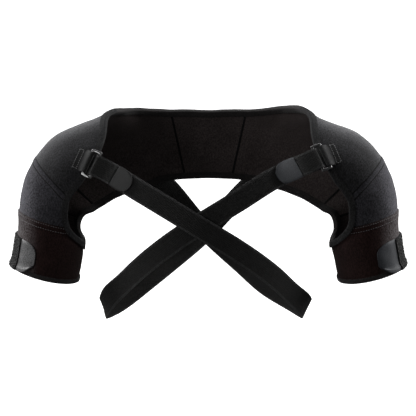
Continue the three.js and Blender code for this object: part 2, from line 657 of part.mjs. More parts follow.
function strapRun(side, frame, route, seat) {
  const bar = frame.centre.clone().addScaledVector(frame.across, frame.barReach);
  const behind = bar.clone().addScaledVector(frame.facing, -FOLD_DEPTH);
  const points = [behind, behind.clone().addScaledVector(frame.across, STRAP_LEAD)];
  const normals = [frame.facing, frame.facing];
  for (const { across, fore, down } of route) {
    points.push(new Vector3(-side * across * STRAP_REACH, -fore * STRAP_DEPTH, -down * STRAP_DROP));
  }
  const seatStation = side * mix(stationOf('scapula'), stationOf('nape'), seat);
  const seatAngle = edgeAngle(seatStation, 'back');
  const seatFrame = shellAt(seatStation, seatAngle);
  const climb = new Vector3(side, 0, 1).setLength(STRAP_SEAT);
  const [moved, turned] = stepInSurface(seatFrame, climb);
  const height = BINDING_CLEAR + BINDING_PLY + CLEAR + STRAP_THICKNESS / 2;
  points.push(shellPoint(seatStation, seatAngle, height));
  points.push(shellPoint(seatStation + moved, seatAngle + turned, height));
  route.forEach(({ lean }, i) => {
    const along = points[i + 3].clone().sub(points[i + 1]);
    const level = new Vector3(along.y, -along.x, 0).setLength(-side * Math.cos(radians(lean)));
    normals.push(level.setZ(Math.sin(radians(lean))));
  });
  normals.push(seatFrame.normal, shellAt(seatStation + moved, seatAngle + turned).normal);
  const knots = [0];
  for (let i = 1; i < points.length; i += 1) knots.push(knots[i - 1] + points[i].distanceTo(points[i - 1]));
  const axes = ['x', 'y', 'z'];
  const place = axes.map((axis) => spline(knots, points.map((point) => point[axis])));
  const face = axes.map((axis) => spline(knots, normals.map((normal) => normal[axis])));
  const pointAt = (length) => new Vector3(...place.map((value) => value(length)));
  const frameAt = (length) => {
    const along = pointAt(length + 0.5).sub(pointAt(length - 0.5)).normalize();
    const normal = new Vector3(...face.map((value) => value(length)));
    normal.addScaledVector(along, -normal.dot(along)).normalize();
    return { point: pointAt(length), normal, across: along.clone().cross(normal) };
  };
  return { frameAt, length: knots[knots.length - 1], bar };
}

function ribbonRing(point, across, normal) {
  const corner = (x, y) => point.clone()
    .addScaledVector(across, x * STRAP_WIDTH / 2)
    .addScaledVector(normal, y * STRAP_THICKNESS / 2);
  return [corner(-1, -1), corner(1, -1), corner(1, 1), corner(-1, 1)];
}

function addStrap(name, frame, run) {
  const rings = [];
  for (const length of [STRAP_FOLD, FOLD_TAPER, FOLD_TAPER / 2]) {
    const { point, normal, across } = run.frameAt(length);
    const lift = mix(2 * FOLD_DEPTH, STRAP_THICKNESS + CLEAR, smooth(length, 0, FOLD_TAPER));
    rings.push(ribbonRing(point.addScaledVector(normal, lift), across, normal.clone().negate()));
  }
  const { across } = run.frameAt(0);
  for (let turn = 0; turn <= 180; turn += 30) {
    const out = frame.facing.clone().multiplyScalar(Math.cos(radians(turn)));
    const aside = frame.across.clone().multiplyScalar(-Math.sin(radians(turn)));
    const point = run.bar.clone().addScaledVector(out, FOLD_DEPTH).addScaledVector(aside, FOLD_REACH);
    rings.push(ribbonRing(point, across, out.add(aside).negate().normalize()));
  }
  for (const length of evenStations(0, run.length, Math.round(run.length / STRAP_STEP)).slice(1)) {
    const { point, normal, across: aside } = run.frameAt(length);
    rings.push(ribbonRing(point, aside, normal));
  }
  addPart(name, sweepRings(rings, [[0, 1, 2], [0, 2, 3]]), ELASTIC);
}

function addStrapTab(name, run, length) {
  const grid = (height) => STRAP_TAB_OUTLINE.map(({ along, half }) => {
    const { point, normal, across } = run.frameAt(STRAP_FOLD + CLEAR + along * length);
    const reach = half * STRAP_TAB_WIDTH / 2;
    point.addScaledVector(normal, STRAP_THICKNESS / 2 + 2 * CLEAR + height);
    return [-1, 0, 1].map((x) => point.clone().addScaledVector(across, x * reach));
  });
  addPart(name, wallBetween(grid(TAB_THICKNESS), grid(0)), HOOK);
}

for (const [name, side] of [['left', -1], ['right', 1]]) {
  addSidePanels(name, side);
  addHemBinding(`${name}_cuff_binding`, side);
  addBand(`${name}_cuff_band`, side);
  addCuffTab(`${name}_cuff_tab`, side, CUFF_TAB_LENGTH[name]);
  const frame = ringFrame(side, RING_PLACE[name]);
  addRing(`${name}_ring`, frame);
  addStub(`${name}_ring_stub`, frame);
  const run = strapRun(side, frame, name === 'left' ? LEFT_ROUTE : RIGHT_ROUTE, SEAT_PLACE[name]);
  addStrap(`${name}_strap`, frame, run);
  addStrapTab(`${name}_strap_tab`, run, STRAP_TAB_LENGTH[name]);
}
addEdgeBinding('neck_binding', 'front');
addEdgeBinding('lower_binding', 'back');

export default parts;
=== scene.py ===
# %% [markdown]
# # A double shoulder brace
# A brace of soft neoprene: a back panel, two shoulder caps with sleeve ends, folded edge bindings,
# fastening bands, and two elastic straps that cross on the chest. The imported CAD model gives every
# place. Each soft node is copied, rounded and dressed here.

import itertools
import math
import random

import bpy
import numpy as np
from mathutils import Matrix, Vector, noise
from mathutils.bvhtree import BVHTree


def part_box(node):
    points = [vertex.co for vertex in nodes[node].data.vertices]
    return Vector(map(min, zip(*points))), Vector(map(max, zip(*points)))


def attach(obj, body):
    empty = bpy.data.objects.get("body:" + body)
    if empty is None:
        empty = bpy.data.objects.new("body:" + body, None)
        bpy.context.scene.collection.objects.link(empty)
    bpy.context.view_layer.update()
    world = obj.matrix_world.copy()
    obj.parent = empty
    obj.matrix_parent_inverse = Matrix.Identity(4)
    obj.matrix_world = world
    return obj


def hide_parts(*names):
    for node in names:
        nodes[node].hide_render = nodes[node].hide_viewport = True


MM = 0.001
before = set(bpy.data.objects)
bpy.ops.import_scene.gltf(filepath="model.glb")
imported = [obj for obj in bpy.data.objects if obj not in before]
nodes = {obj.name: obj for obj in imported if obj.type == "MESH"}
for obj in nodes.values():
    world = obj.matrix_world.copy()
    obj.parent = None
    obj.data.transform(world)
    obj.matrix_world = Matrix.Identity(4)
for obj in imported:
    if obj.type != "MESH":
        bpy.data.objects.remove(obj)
bpy.ops.object.select_all(action="DESELECT")
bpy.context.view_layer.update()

# %% [markdown]
# ## Camera
# The brace was photographed from the chest side, a little above it, with a long lens. A long lens
# from 1.8 m keeps the sleeves and the crossing straps in the same proportion as in the photograph.

# %% Set the camera
CAMERA_DISTANCE = 1.8
CAMERA_RISE = math.radians(5)
LENS = 129.8
camera = bpy.data.objects.new("camera", bpy.data.cameras.new("camera"))
bpy.context.scene.collection.objects.link(camera)
camera.data.sensor_width = 36
camera.data.lens = LENS
aim = Vector((-0.0006, 0, -0.1217))
camera.location = aim + CAMERA_DISTANCE * Vector((0, -math.cos(CAMERA_RISE), math.sin(CAMERA_RISE)))
camera.rotation_euler = (math.radians(90) - CAMERA_RISE, 0, 0)
bpy.context.scene.camera = camera
print("camera at", [round(value, 3) for value in camera.location])

# %% [markdown]
# ## Studio
# The brace hangs free in its worn form, so the pale floor lies well below it and turns up into a
# wall behind it. Such a sweep is a plane with one edge pulled up and its corner bevelled,
# which leaves no line behind the brace. It is white paper that glows a little, and it is hidden
# from the light that falls on cloth, so it stays white without greying the black cloth.

# %% Build the floor and the wall behind it
FLOOR_LEVEL = -0.62
SWEEP_SIZE = 40
SWEEP_MIDDLE = (0, -16, FLOOR_LEVEL)
WALL_HEIGHT = 6
WALL_BEND = 1.6
bpy.ops.mesh.primitive_plane_add(size=SWEEP_SIZE, location=SWEEP_MIDDLE)
sweep = bpy.context.object
sweep.name = "studio_sweep"
bpy.ops.object.mode_set(mode="EDIT")
bpy.ops.mesh.select_all(action="DESELECT")
bpy.ops.object.mode_set(mode="OBJECT")
for edge in sweep.data.edges:
    middle = sum((sweep.data.vertices[i].co for i in edge.vertices), Vector()) / 2
    edge.select = middle.y > SWEEP_SIZE / 4
bpy.ops.object.mode_set(mode="EDIT")
bpy.ops.mesh.select_mode(type="EDGE")
bpy.ops.mesh.extrude_region_move(TRANSFORM_OT_translate={"value": (0, 0, WALL_HEIGHT)})
bpy.ops.object.mode_set(mode="OBJECT")
for edge in sweep.data.edges:
    corners = [sweep.data.vertices[i].co for i in edge.vertices]
    edge.select = all(corner.y > SWEEP_SIZE / 4 and corner.z < WALL_HEIGHT / 2 for corner in corners)
bpy.ops.object.mode_set(mode="EDIT")
bpy.ops.mesh.bevel(offset=WALL_BEND, segments=16, affect="EDGES")
bpy.ops.object.mode_set(mode="OBJECT")
bpy.ops.object.transform_apply(location=True, rotation=True, scale=True)
bpy.ops.object.shade_smooth()
paper = bpy.data.materials.new("pale_paper")
paper.use_nodes = True
paper_shader = paper.node_tree.nodes["Principled BSDF"]
paper_shader.inputs["Base Color"].default_value = (0.93, 0.93, 0.93, 1)
paper_shader.inputs["Roughness"].default_value = 0.9
paper_shader.inputs["Emission Color"].default_value = (1, 1, 1, 1)
paper_shader.inputs["Emission Strength"].default_value = 0.95
sweep.data.materials.append(paper)
sweep.visible_diffuse = False
sweep.visible_glossy = False
print("sweep faces", len(sweep.data.polygons))

# %% [markdown]
# ## Light
# Black cloth shows its form only where light grazes it. Two large soft lamps at the sides, a little
# behind the brace, brighten the outer shoulders and leave the fronts nearly black, as in the
# photograph. A weaker lamp from the front left picks out the tabs, the rings and the lining. The
# world is white where it is seen and weak as a light, so the background stays clean and the blacks
# stay deep. The Standard view keeps them as dark as they are.

# %% Hang the lamps
def soft_lamp(name, place, size, power):
    lamp = bpy.data.objects.new(name, bpy.data.lights.new(name, "AREA"))
    bpy.context.scene.collection.objects.link(lamp)
    lamp.data.shape = "RECTANGLE"
    lamp.data.size = size[0]
    lamp.data.size_y = size[1]
    lamp.data.energy = power
    lamp.location = place
    lamp.rotation_euler = (aim - Vector(place)).to_track_quat("-Z", "Y").to_euler()


soft_lamp("lamp_left", (-1.6, 0.45, 0.85), (1.1, 1.1), 92)
soft_lamp("lamp_right", (1.6, 0.4, 0.75), (1.1, 1.1), 92)
soft_lamp("lamp_top", (0, 0.3, 1.9), (1.4, 0.9), 26)
soft_lamp("lamp_front", (-0.2, -2.2, 0.5), (1.4, 0.9), 5)
soft_lamp("lamp_front_left", (-1.7, -1.6, 0.25), (1.0, 0.9), 24)
soft_lamp("lamp_back", (0, 2.0, 0.8), (1.6, 0.8), 22)
world = bpy.data.worlds.new("white_world")
bpy.context.scene.world = world
world.use_nodes = True
weak = world.node_tree.nodes["Background"]
weak.inputs["Strength"].default_value = 0.16
seen = world.node_tree.nodes.new("ShaderNodeBackground")
for background in (weak, seen):
    background.inputs["Color"].default_value = (1, 1, 1, 1)
either = world.node_tree.nodes.new("ShaderNodeMixShader")
ray = world.node_tree.nodes.new("ShaderNodeLightPath")
world_output = world.node_tree.nodes["World Output"]
world.node_tree.links.new(ray.outputs["Is Camera Ray"], either.inputs["Fac"])
world.node_tree.links.new(weak.outputs["Background"], either.inputs[1])
world.node_tree.links.new(seen.outputs["Background"], either.inputs[2])
world.node_tree.links.new(either.outputs["Shader"], world_output.inputs["Surface"])
bpy.context.scene.view_settings.view_transform = "Standard"

# %% [markdown]
# ## How cloth materials are made here
# Cloth is dark, matt and never one colour. Each finish below starts from the same few nodes: a
# noise that mottles the colour, a ramp that limits it to two close tones, and a bump from a finer
# noise or a weave. Object coordinates are in metres, so a scale of 800 gives grains of about a
# millimetre and a quarter.

# %% Helpers for node materials
def start_material(name, roughness):
    material = bpy.data.materials.new(name)
    material.use_nodes = True
    tree = material.node_tree
    shader = tree.nodes["Principled BSDF"]
    shader.inputs["Roughness"].default_value = roughness
    return material, tree, shader


def add_noise(tree, source, scale, detail=2.0, stretch=(1, 1, 1)):
    mapping = tree.nodes.new("ShaderNodeMapping")
    mapping.inputs["Scale"].default_value = stretch
    tree.links.new(source, mapping.inputs["Vector"])
    texture = tree.nodes.new("ShaderNodeTexNoise")
    texture.inputs["Scale"].default_value = scale
    texture.inputs["Detail"].default_value = detail
    tree.links.new(mapping.outputs["Vector"], texture.inputs["Vector"])
    return texture.outputs["Fac"]


def add_ramp(tree, source, low, high, dark, light):
    ramp = tree.nodes.new("ShaderNodeValToRGB")
    ramp.color_ramp.elements[0].position = low
    ramp.color_ramp.elements[0].color = (*dark, 1)
    ramp.color_ramp.elements[1].position = high
    ramp.color_ramp.elements[1].color = (*light, 1)
    tree.links.new(source, ramp.inputs["Fac"])
    return ramp.outputs["Color"]


def add_blend(tree, first, second, share, kind="MIX"):
    blend = tree.nodes.new("ShaderNodeMix")
    blend.data_type = "RGBA"
    blend.blend_type = kind
    if isinstance(share, (int, float)):
        blend.inputs["Factor"].default_value = share
    else:
        tree.links.new(share, blend.inputs["Factor"])
    tree.links.new(first, blend.inputs["A"])
    tree.links.new(second, blend.inputs["B"])
    return blend.outputs["Result"]


def add_bump(tree, shader, height, depth, strength):
    bump = tree.nodes.new("ShaderNodeBump")
    bump.inputs["Distance"].default_value = depth
    bump.inputs["Strength"].default_value = strength
    tree.links.new(height, bump.inputs["Height"])
    tree.links.new(bump.outputs["Normal"], shader.inputs["Normal"])


def add_math(tree, operation, first, second):
    node = tree.nodes.new("ShaderNodeMath")
    node.operation = operation
    for socket, value in zip(node.inputs, (first, second)):
        if isinstance(value, (int, float)):
            socket.default_value = value
        else:
            tree.links.new(value, socket)
    return node.outputs[0]


def add_fade(tree, source, start, end):
    fade = tree.nodes.new("ShaderNodeMapRange")
    fade.inputs["From Min"].default_value = start
    fade.inputs["From Max"].default_value = end
    tree.links.new(source, fade.inputs["Value"])
    return fade.outputs["Result"]


def split_of(tree, source):
    split = tree.nodes.new("ShaderNodeSeparateXYZ")
    tree.links.new(source, split.inputs["Vector"])
    return split.outputs


# %% [markdown]
# ## Heather knit and lining
# The outer face of the neoprene is a fine charcoal jersey with lighter fibres in it, and the inside
# is browner. Short streaks come from a noise that is stretched, and a broad noise gives the cloudy
# look of knit. A lighter tone of painted light, standing for where the lamps fall, fades in with the
# place: over the crown of the shoulders and behind them, down the outer side of the arms, along the
# upper edge of the cuffs, and outwards from the nape on the binding.

# %% Mix the knit and the lining
# How much a point's distance from the middle, its way forward and its height count, and from
# which sum to which, in metres, the painted light comes in.
CROWN = (0.55, 1.5, 1, -0.012, 0.052)
ARM = (1, 0, 0, 0.2, 0.24)
CUFF = (1, 0, 0, 0.2, 0.224)
NAPE = (1, 0, 0, 0.075, 0.1)
# At most this share of the painted light tone is mixed into the knit.
PAINTED_LIGHT_SHARE = 0.7


def knit_material(name, dark, light, lit_tone, fade, sheen=0.05):
    """A heather knit between two tones, and a third tone of painted light where the fade brings it in.
    """
    material, tree, shader = start_material(name, 0.92)
    shader.inputs["Sheen Weight"].default_value = sheen
    shader.inputs["Sheen Roughness"].default_value = 0.4
    shader.inputs["Specular IOR Level"].default_value = 0.06
    place = tree.nodes.new("ShaderNodeTexCoord").outputs["Object"]
    fibres = add_noise(tree, place, 800, 3, (1, 1, 0.6))
    clouds = add_noise(tree, place, 30, 3)
    heather = add_ramp(tree, fibres, 0.36, 0.66, dark, light)
    cloudy = add_ramp(tree, clouds, 0.3, 0.7, (0.78, 0.78, 0.78), (1.16, 1.16, 1.16))
    mottled = add_blend(tree, heather, cloudy, 1.0, "MULTIPLY")
    split = split_of(tree, place)
    aside = add_math(tree, "ABSOLUTE", split["X"], 0.0)
    forward = add_math(tree, "MINIMUM", split["Y"], 0.0)
    rise = 0.0
    for way, counts in zip((aside, forward, split["Z"]), fade[:3]):
        rise = add_math(tree, "ADD", rise, add_math(tree, "MULTIPLY", way, counts))
    # The painted light: a lighter tone comes in where the fade says the lamps fall.
    painted_light = add_fade(tree, rise, *fade[3:])
    pale = add_ramp(tree, fibres, 0.34, 0.66, light, lit_tone)
    share = add_math(tree, "MULTIPLY", painted_light, PAINTED_LIGHT_SHARE)
    tree.links.new(add_blend(tree, mottled, pale, share), shader.inputs["Base Color"])
    grain = add_noise(tree, place, 1500, 2, (1, 1, 0.6))
    add_bump(tree, shader, grain, 0.00025, 0.8)
    return material


# Each knit's third tone is its painted light; the lining's lies close to its own light tone.
knit = knit_material(
    "heather_knit", (0.006, 0.006, 0.0063), (0.02, 0.02, 0.0215), (0.108, 0.108, 0.113), CROWN)
arm_knit = knit_material(
    "arm_knit", (0.008, 0.0078, 0.009), (0.026, 0.0255, 0.0295), (0.125, 0.122, 0.14), ARM)
cuff_knit = knit_material(
    "cuff_knit", (0.0045, 0.0022, 0.002), (0.013, 0.0065, 0.006), (0.1, 0.097, 0.1), CUFF, 0.01)
lining = knit_material(
    "lining", (0.015, 0.012, 0.0118), (0.034, 0.028, 0.0272), (0.033, 0.0275, 0.027), CROWN, 0.01)
# The seam knit is darker than the knit; beside the dart seam it is the painted shade of the grooves.
seam_knit = knit_material(
    "seam_knit", (0.002, 0.002, 0.002), (0.006, 0.006, 0.0064), (0.014, 0.014, 0.015), CROWN, 0.01)
# A copy of the tape for the front of the neck binding: darker than the dark tape, with painted light
# outwards from the nape.
binding_tape = knit_material(
    "binding_tape", (0.002, 0.002, 0.002), (0.006, 0.006, 0.006), (0.022, 0.022, 0.023), NAPE, 0)
print("knit materials ready")

# %% [markdown]
# ## Tape, pile, hook tape and thread
# The edges are bound in a dark woven tape. The bands are a fuzzy pile, which is close to black
# because light is lost between its loops. The tabs are the smooth back of one hook tape, in copies
# toned for the light that falls on each: a pale grey one with painted light, a dark one with painted
# shade and two slightly blue ones. The thread is dark, and paler on the cuffs and stubs.

# %% Mix the trims
def trim_material(name, roughness, dark, light, grain_scale, grain_depth, sheen):
    material, tree, shader = start_material(name, roughness)
    shader.inputs["Sheen Weight"].default_value = sheen
    shader.inputs["Specular IOR Level"].default_value = 0.12
    place = tree.nodes.new("ShaderNodeTexCoord").outputs["Object"]
    fine = add_noise(tree, place, grain_scale, 2)
    broad = add_noise(tree, place, 40, 2)
    colour = add_ramp(tree, fine, 0.35, 0.7, dark, light)
    shade = add_ramp(tree, broad, 0.3, 0.7, (0.82, 0.82, 0.82), (1.1, 1.1, 1.1))
    tree.links.new(add_blend(tree, colour, shade, 1.0, "MULTIPLY"), shader.inputs["Base Color"])
    add_bump(tree, shader, fine, grain_depth, 0.9)
    return material


dark_tape = trim_material(
    "dark_tape", 0.88, (0.005, 0.0045, 0.0045), (0.015, 0.0135, 0.0135), 900, 0.0003, 0.02)
webbing = trim_material(
    "stub_webbing", 0.9, (0.004, 0.004, 0.004), (0.013, 0.013, 0.0135), 800, 0.0003, 0.03)
pile = trim_material(
    "loop_pile", 1.0, (0.001, 0.001, 0.001), (0.009, 0.009, 0.009), 520, 0.0012, 0.01)
pile_fibre = trim_material(
    "pile_fibres", 0.7, (0.003, 0.003, 0.003), (0.1, 0.1, 0.1), 500, 0.0002, 0.02)
# The hook tape with painted light, for the left cuff's tab.
lit_hook_tape = trim_material(
    "lit_hook_tape", 0.5, (0.024, 0.024, 0.0245), (0.09, 0.09, 0.0915), 900, 0.00015, 0.02)
blue_hook_tape = trim_material(
    "blue_hook_tape", 0.6, (0.0105, 0.0115, 0.0137), (0.0202, 0.022, 0.0255), 900, 0.00012, 0.02)
# The hook tape with painted shade, for the left strap's tab.
shaded_hook_tape = trim_material(
    "shaded_hook_tape", 0.5, (0.002, 0.002, 0.002), (0.0045, 0.0045, 0.0045), 900, 0.00012, 0.02)
thread = trim_material(
    "thread", 0.8, (0.003, 0.003, 0.003), (0.009, 0.009, 0.0093), 1200, 0.0001, 0.01)
pale_thread = trim_material(
    "pale_thread", 0.6, (0.045, 0.045, 0.046), (0.11, 0.11, 0.113), 1200, 0.0001, 0.1)
print("trim materials ready")

# %% [markdown]
# ## Woven elastic
# An elastic strap is woven with fine ribs across it and a plain, tighter selvage along both sides.
# The pattern has to follow the strap, so it reads the strap's own UV map, whose first number is the
# length from the sewn end and whose second is the distance from the middle, both in metres.

# %% Mix the elastic
RIB_PITCH = 1.6 * MM
WALE_PITCH = 2.1 * MM
SELVAGE_START = 9.8 * MM
SELVAGE_END = 10.8 * MM


def waves(tree, source, pitch):
    return add_math(tree, "SINE", add_math(tree, "MULTIPLY", source, 2 * math.pi / pitch), 0.0)


def elastic_material(name, dark, light, selvage):
    material, tree, shader = start_material(name, 0.8)
    shader.inputs["Sheen Weight"].default_value = 0.02
    shader.inputs["Specular IOR Level"].default_value = 0.1
    coordinates = tree.nodes.new("ShaderNodeTexCoord")
    split = split_of(tree, coordinates.outputs["UV"])
    ribs = waves(tree, split["X"], RIB_PITCH)
    wales = waves(tree, split["Y"], WALE_PITCH)
    weave = add_math(tree, "ADD", ribs, add_math(tree, "MULTIPLY", wales, 0.5))
    mottle = add_noise(tree, coordinates.outputs["Object"], 700, 2)
    colour = add_ramp(tree, mottle, 0.35, 0.68, dark, light)
    rim = add_fade(tree, add_math(tree, "ABSOLUTE", split["Y"], 0.0), SELVAGE_START, SELVAGE_END)
    edge = add_ramp(tree, mottle, 0.35, 0.68, light, selvage)
    tree.links.new(add_blend(tree, colour, edge, rim), shader.inputs["Base Color"])
    add_bump(tree, shader, weave, 0.0002, 0.7)
    return material


elastic = elastic_material(
    "woven_elastic", (0.003, 0.003, 0.0029), (0.009, 0.009, 0.0088), (0.028, 0.028, 0.0285))
print("elastic ready")

# %% [markdown]
# ## Ring plastic
# The rings are moulded in black plastic that shines. A low roughness with a clear coat gives the
# small bright highlights on their corners, and a faint uneven roughness keeps them from looking
# like glass.

# %% Mix the ring plastic
gloss, gloss_tree, gloss_shader = start_material("ring_gloss", 0.2)
gloss_shader.inputs["Coat Weight"].default_value = 0.6
gloss_shader.inputs["Coat Roughness"].default_value = 0.08
gloss_place = gloss_tree.nodes.new("ShaderNodeTexCoord").outputs["Object"]
smears = add_noise(gloss_tree, gloss_place, 260, 3)
gloss_colour = add_ramp(gloss_tree, smears, 0.3, 0.7, (0.006, 0.006, 0.006), (0.014, 0.014, 0.015))
gloss_tree.links.new(gloss_colour, gloss_shader.inputs["Base Color"])
add_bump(gloss_tree, gloss_shader, smears, 0.00006, 0.3)
print("ring plastic ready")

# %% [markdown]
# ## Where a point lies on the shell
# The brace is one bent tube: from the spine it runs outwards over the shoulder and down the arm. A
# short polyline through the middle of that tube tells for any point how far along it lies, at what
# angle round the tube, and which way is outwards. Folds and stitches are placed with it.

# %% Measure along and round the shell
AXIS = np.array([
    (0, -75), (32, -75), (62, -72), (84, -69), (100, -70), (116, -71), (150, -77),
    (173, -97), (182, -113), (185, -133), (187, -155), (195, -199),
]) * MM
AXIS_STEPS = np.diff(AXIS, axis=0)
AXIS_LENGTHS = np.linalg.norm(AXIS_STEPS, axis=1)
AXIS_STARTS = np.concatenate([[0], np.cumsum(AXIS_LENGTHS)])


def shell_coordinates(points):
    """Station, angle in degrees, outward directions and the axis's direction, one row a point."""
    points = np.asarray(points, float).reshape(-1, 3)
    side = np.where(points[:, 0] < 0, -1.0, 1.0)
    flat = np.stack([np.abs(points[:, 0]), points[:, 2]], axis=1)
    best = np.full(len(points), np.inf)
    station = np.zeros(len(points))
    offset = np.zeros((len(points), 2))
    heading = np.zeros((len(points), 2))
    for start, step, length, passed in zip(AXIS, AXIS_STEPS, AXIS_LENGTHS, AXIS_STARTS):
        share = np.clip(((flat - start) @ step) / length**2, 0, 1)
        away = flat - start - share[:, None] * step
        distance = np.linalg.norm(away, axis=1)
        nearer = distance < best
        best = np.where(nearer, distance, best)
        station = np.where(nearer, passed + share * length, station)
        offset = np.where(nearer[:, None], away, offset)
        heading = np.where(nearer[:, None], step / length, heading)
    up = offset[:, 1] * heading[:, 0] - offset[:, 0] * heading[:, 1]
    angle = np.degrees(np.arctan2(points[:, 1], up))
    outwards = np.stack([side * offset[:, 0], points[:, 1], offset[:, 1]], axis=1)
    outwards /= np.maximum(np.linalg.norm(outwards, axis=1), 1e-9)[:, None]
    along = np.stack([side * heading[:, 0], np.zeros(len(points)), heading[:, 1]], axis=1)
    return station * side, angle, outwards, along


print("axis length in mm", round(AXIS_STARTS[-1] / MM, 1))

# %% [markdown]
# ## Copies of the soft nodes
# A CAD node is a mesh of loose triangles. Its copy is merged by distance, its triangles are joined
# to quads, and its sharp rims get a crease, so that a Subdivision Surface rounds the big forms and
# keeps the thickness of the wall. That gives soft forms that still fit their neighbours.

# %% Copy, merge and round a node
def select_only(piece):
    bpy.ops.object.select_all(action="DESELECT")
    piece.select_set(True)
    bpy.context.view_layer.objects.active = piece


def copy_of(node, name):
    piece = bpy.data.objects.new(name, nodes[node].data.copy())
    bpy.context.scene.collection.objects.link(piece)
    piece.data.materials.clear()
    select_only(piece)
    bpy.ops.object.mode_set(mode="EDIT")
    bpy.ops.mesh.select_all(action="SELECT")
    bpy.ops.mesh.remove_doubles(threshold=0.02 * MM)
    bpy.ops.object.mode_set(mode="OBJECT")
    if piece.data.has_custom_normals:
        bpy.ops.mesh.customdata_custom_splitnormals_clear()
    return piece


def round_off(piece, levels, rim_angle=42, crease=0.9):
    """Rounds a copy, which keeps its rims sharper than rim_angle by their crease."""
    select_only(piece)
    bpy.ops.object.mode_set(mode="EDIT")
    bpy.ops.mesh.select_all(action="SELECT")
    bpy.ops.mesh.tris_convert_to_quads(face_threshold=math.radians(70), shape_threshold=math.radians(80))
    bpy.ops.mesh.select_all(action="DESELECT")
    bpy.ops.mesh.select_mode(type="EDGE")
    bpy.ops.mesh.edges_select_sharp(sharpness=math.radians(rim_angle))
    bpy.ops.transform.edge_crease(value=crease)
    bpy.ops.object.mode_set(mode="OBJECT")
    rounding = piece.modifiers.new("rounding", "SUBSURF")
    rounding.levels = levels
    rounding.render_levels = levels
    bpy.ops.object.modifier_apply(modifier="rounding")
    bpy.ops.object.shade_smooth_by_angle(angle=math.radians(50))


def points_of(piece):
    points = np.zeros(len(piece.data.vertices) * 3)
    piece.data.vertices.foreach_get("co", points)
    return points.reshape(-1, 3)


def set_points(piece, points):
    piece.data.vertices.foreach_set("co", points.ravel())
    piece.data.update()


cloth = {}


def stand_for(piece, node, material):
    """Puts a finished copy in the place of its node, and keeps it for the stitching."""
    if not piece.data.materials:
        piece.data.materials.append(material)
    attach(piece, "root")
    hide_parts(node)
    cloth[node] = piece


# %% [markdown]
# ## Soft unevenness
# Neoprene that hangs in its worn form is never quite smooth: it swells a little between its seams
# and is drawn in along them. One field of small moves along the outward direction is used for all
# the cloth, so neighbouring pieces move together. It fades out at the rings and the sewn straps.
# A few wider pulls draw the armholes, the neck edge and the straps' turns to where the photograph
# has them.

# %% Move the cloth a little
def middle_of(node):
    low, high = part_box(node)
    return (low + high) / 2


# The straps are sewn to the back panel's sides at the last two places.
RING_PARTS = ["left_ring", "right_ring", "left_ring_stub", "right_ring_stub"]
QUIET_PLACES = [middle_of(node) for node in RING_PARTS]
QUIET_PLACES += [Vector((0.108, 0.085, -0.07)), Vector((-0.112, 0.085, -0.07))]
QUIET_NEAR = 22 * MM
QUIET_FADE = 30 * MM
# Where cloth is pulled aside: the middle of the pull, its move and its reach, in mm.
SHELL_PULLS = [
    ((-152, 15, -147), (-3.2, 0, 0), 16),
    ((-147, 0, -170), (-1.8, 0, 0), 9),
    ((-142, 40, -126), (0, 0, 1.2), 12),
    ((-85, 60, 0), (0, 0, -1.4), 20),
    ((152, 15, -139), (-3.2, 0, 0), 13),
    ((148, 0, -170), (-1.8, 0, 2.2), 9),
    ((142, 40, -126), (0, 0, 1.6), 12),
    ((101, 10, 0), (0, 0, 2.6), 20),
]
STRAP_PULLS = [
    ((-66, 98, -98), (-5, 0.4, 0), 32),
    ((60, 98, -95), (3, 0.4, 0), 32),
    ((-116, -30, -214), (-5, 0, 0.5), 20),
    ((-129, 10, -232), (-1.2, 0, 0), 13),
    ((-122, 10, -253), (-3.6, 0, -1.2), 10),
    ((110, -30, -217), (5.4, 0, 0.5), 18),
    ((121, 10, -253), (1, 0, -1.2), 9),
]
# A pull reaches further from front to back than up and sideways.
PULL_SHAPE = np.array((1, 0.45, 1))


def pull(points, pulls):
    """Moves points in place, less the further they lie from a pull's middle."""
    for middle, move, reach in pulls:
        away = (points - np.array(middle) * MM) * PULL_SHAPE / (reach * MM)
        weight = np.exp(-(away**2).sum(axis=1))
        points += weight[:, None] * np.array(move) * MM


def swell_at(point):
    near = min((point - quiet).length for quiet in QUIET_PLACES)
    calm = min(max((near - QUIET_NEAR) / QUIET_FADE, 0), 1)
    broad = noise.noise(point * 24 + Vector((3.1, 7.7, 1.3)))
    fine = noise.noise(point * 75 + Vector((9.2, 0.4, 5.5)))
    return calm * (1.1 * broad + 0.45 * fine) * MM


def drape(piece):
    """Moves a piece's cloth and returns its largest swell in mm."""
    points = points_of(piece)
    moves = np.array([swell_at(Vector(point)) for point in points])
    points += shell_coordinates(points)[2] * moves[:, None]
    pull(points, SHELL_PULLS)
    set_points(piece, points)
    return float(np.abs(moves).max() / MM)


# %% [markdown]
# ## Neoprene panels
# Seven panels make the shell: one at the back, and on each side a shoulder panel, a deltoid panel
# and a cuff. Faces that look inwards get the browner lining, chosen by their normal against the
# outward direction, as a maker would laminate a different cloth on the inside.

# %% Dress the panels
def line_inside(piece, outer_material):
    piece.data.materials.append(outer_material)
    piece.data.materials.append(lining)
    centres = np.array([face.center for face in piece.data.polygons])
    outwards = shell_coordinates(centres)[2]
    normals = np.array([face.normal for face in piece.data.polygons])
    inner = (normals * outwards).sum(axis=1) < -0.1
    piece.data.polygons.foreach_set("material_index", inner.astype(np.int32))
    return int(inner.sum())


PANELS = ["back_panel"]
for side in ("left", "right"):
    PANELS += [f"{side}_shoulder_panel", f"{side}_deltoid_panel", f"{side}_cuff"]
OUTER_KNITS = {"deltoid_panel": arm_knit, "cuff": cuff_knit}
merged = {}
for node in PANELS:
    piece = copy_of(node, f"{node}_knit")
    merged[node] = points_of(piece)
    round_off(piece, 2)
    deepest = drape(piece)
    inner = line_inside(piece, OUTER_KNITS.get(node.split("_", 1)[1], knit))
    stand_for(piece, node, knit)
    print(node, "faces", len(piece.data.polygons), "lining", inner, "moved up to", round(deepest, 2))

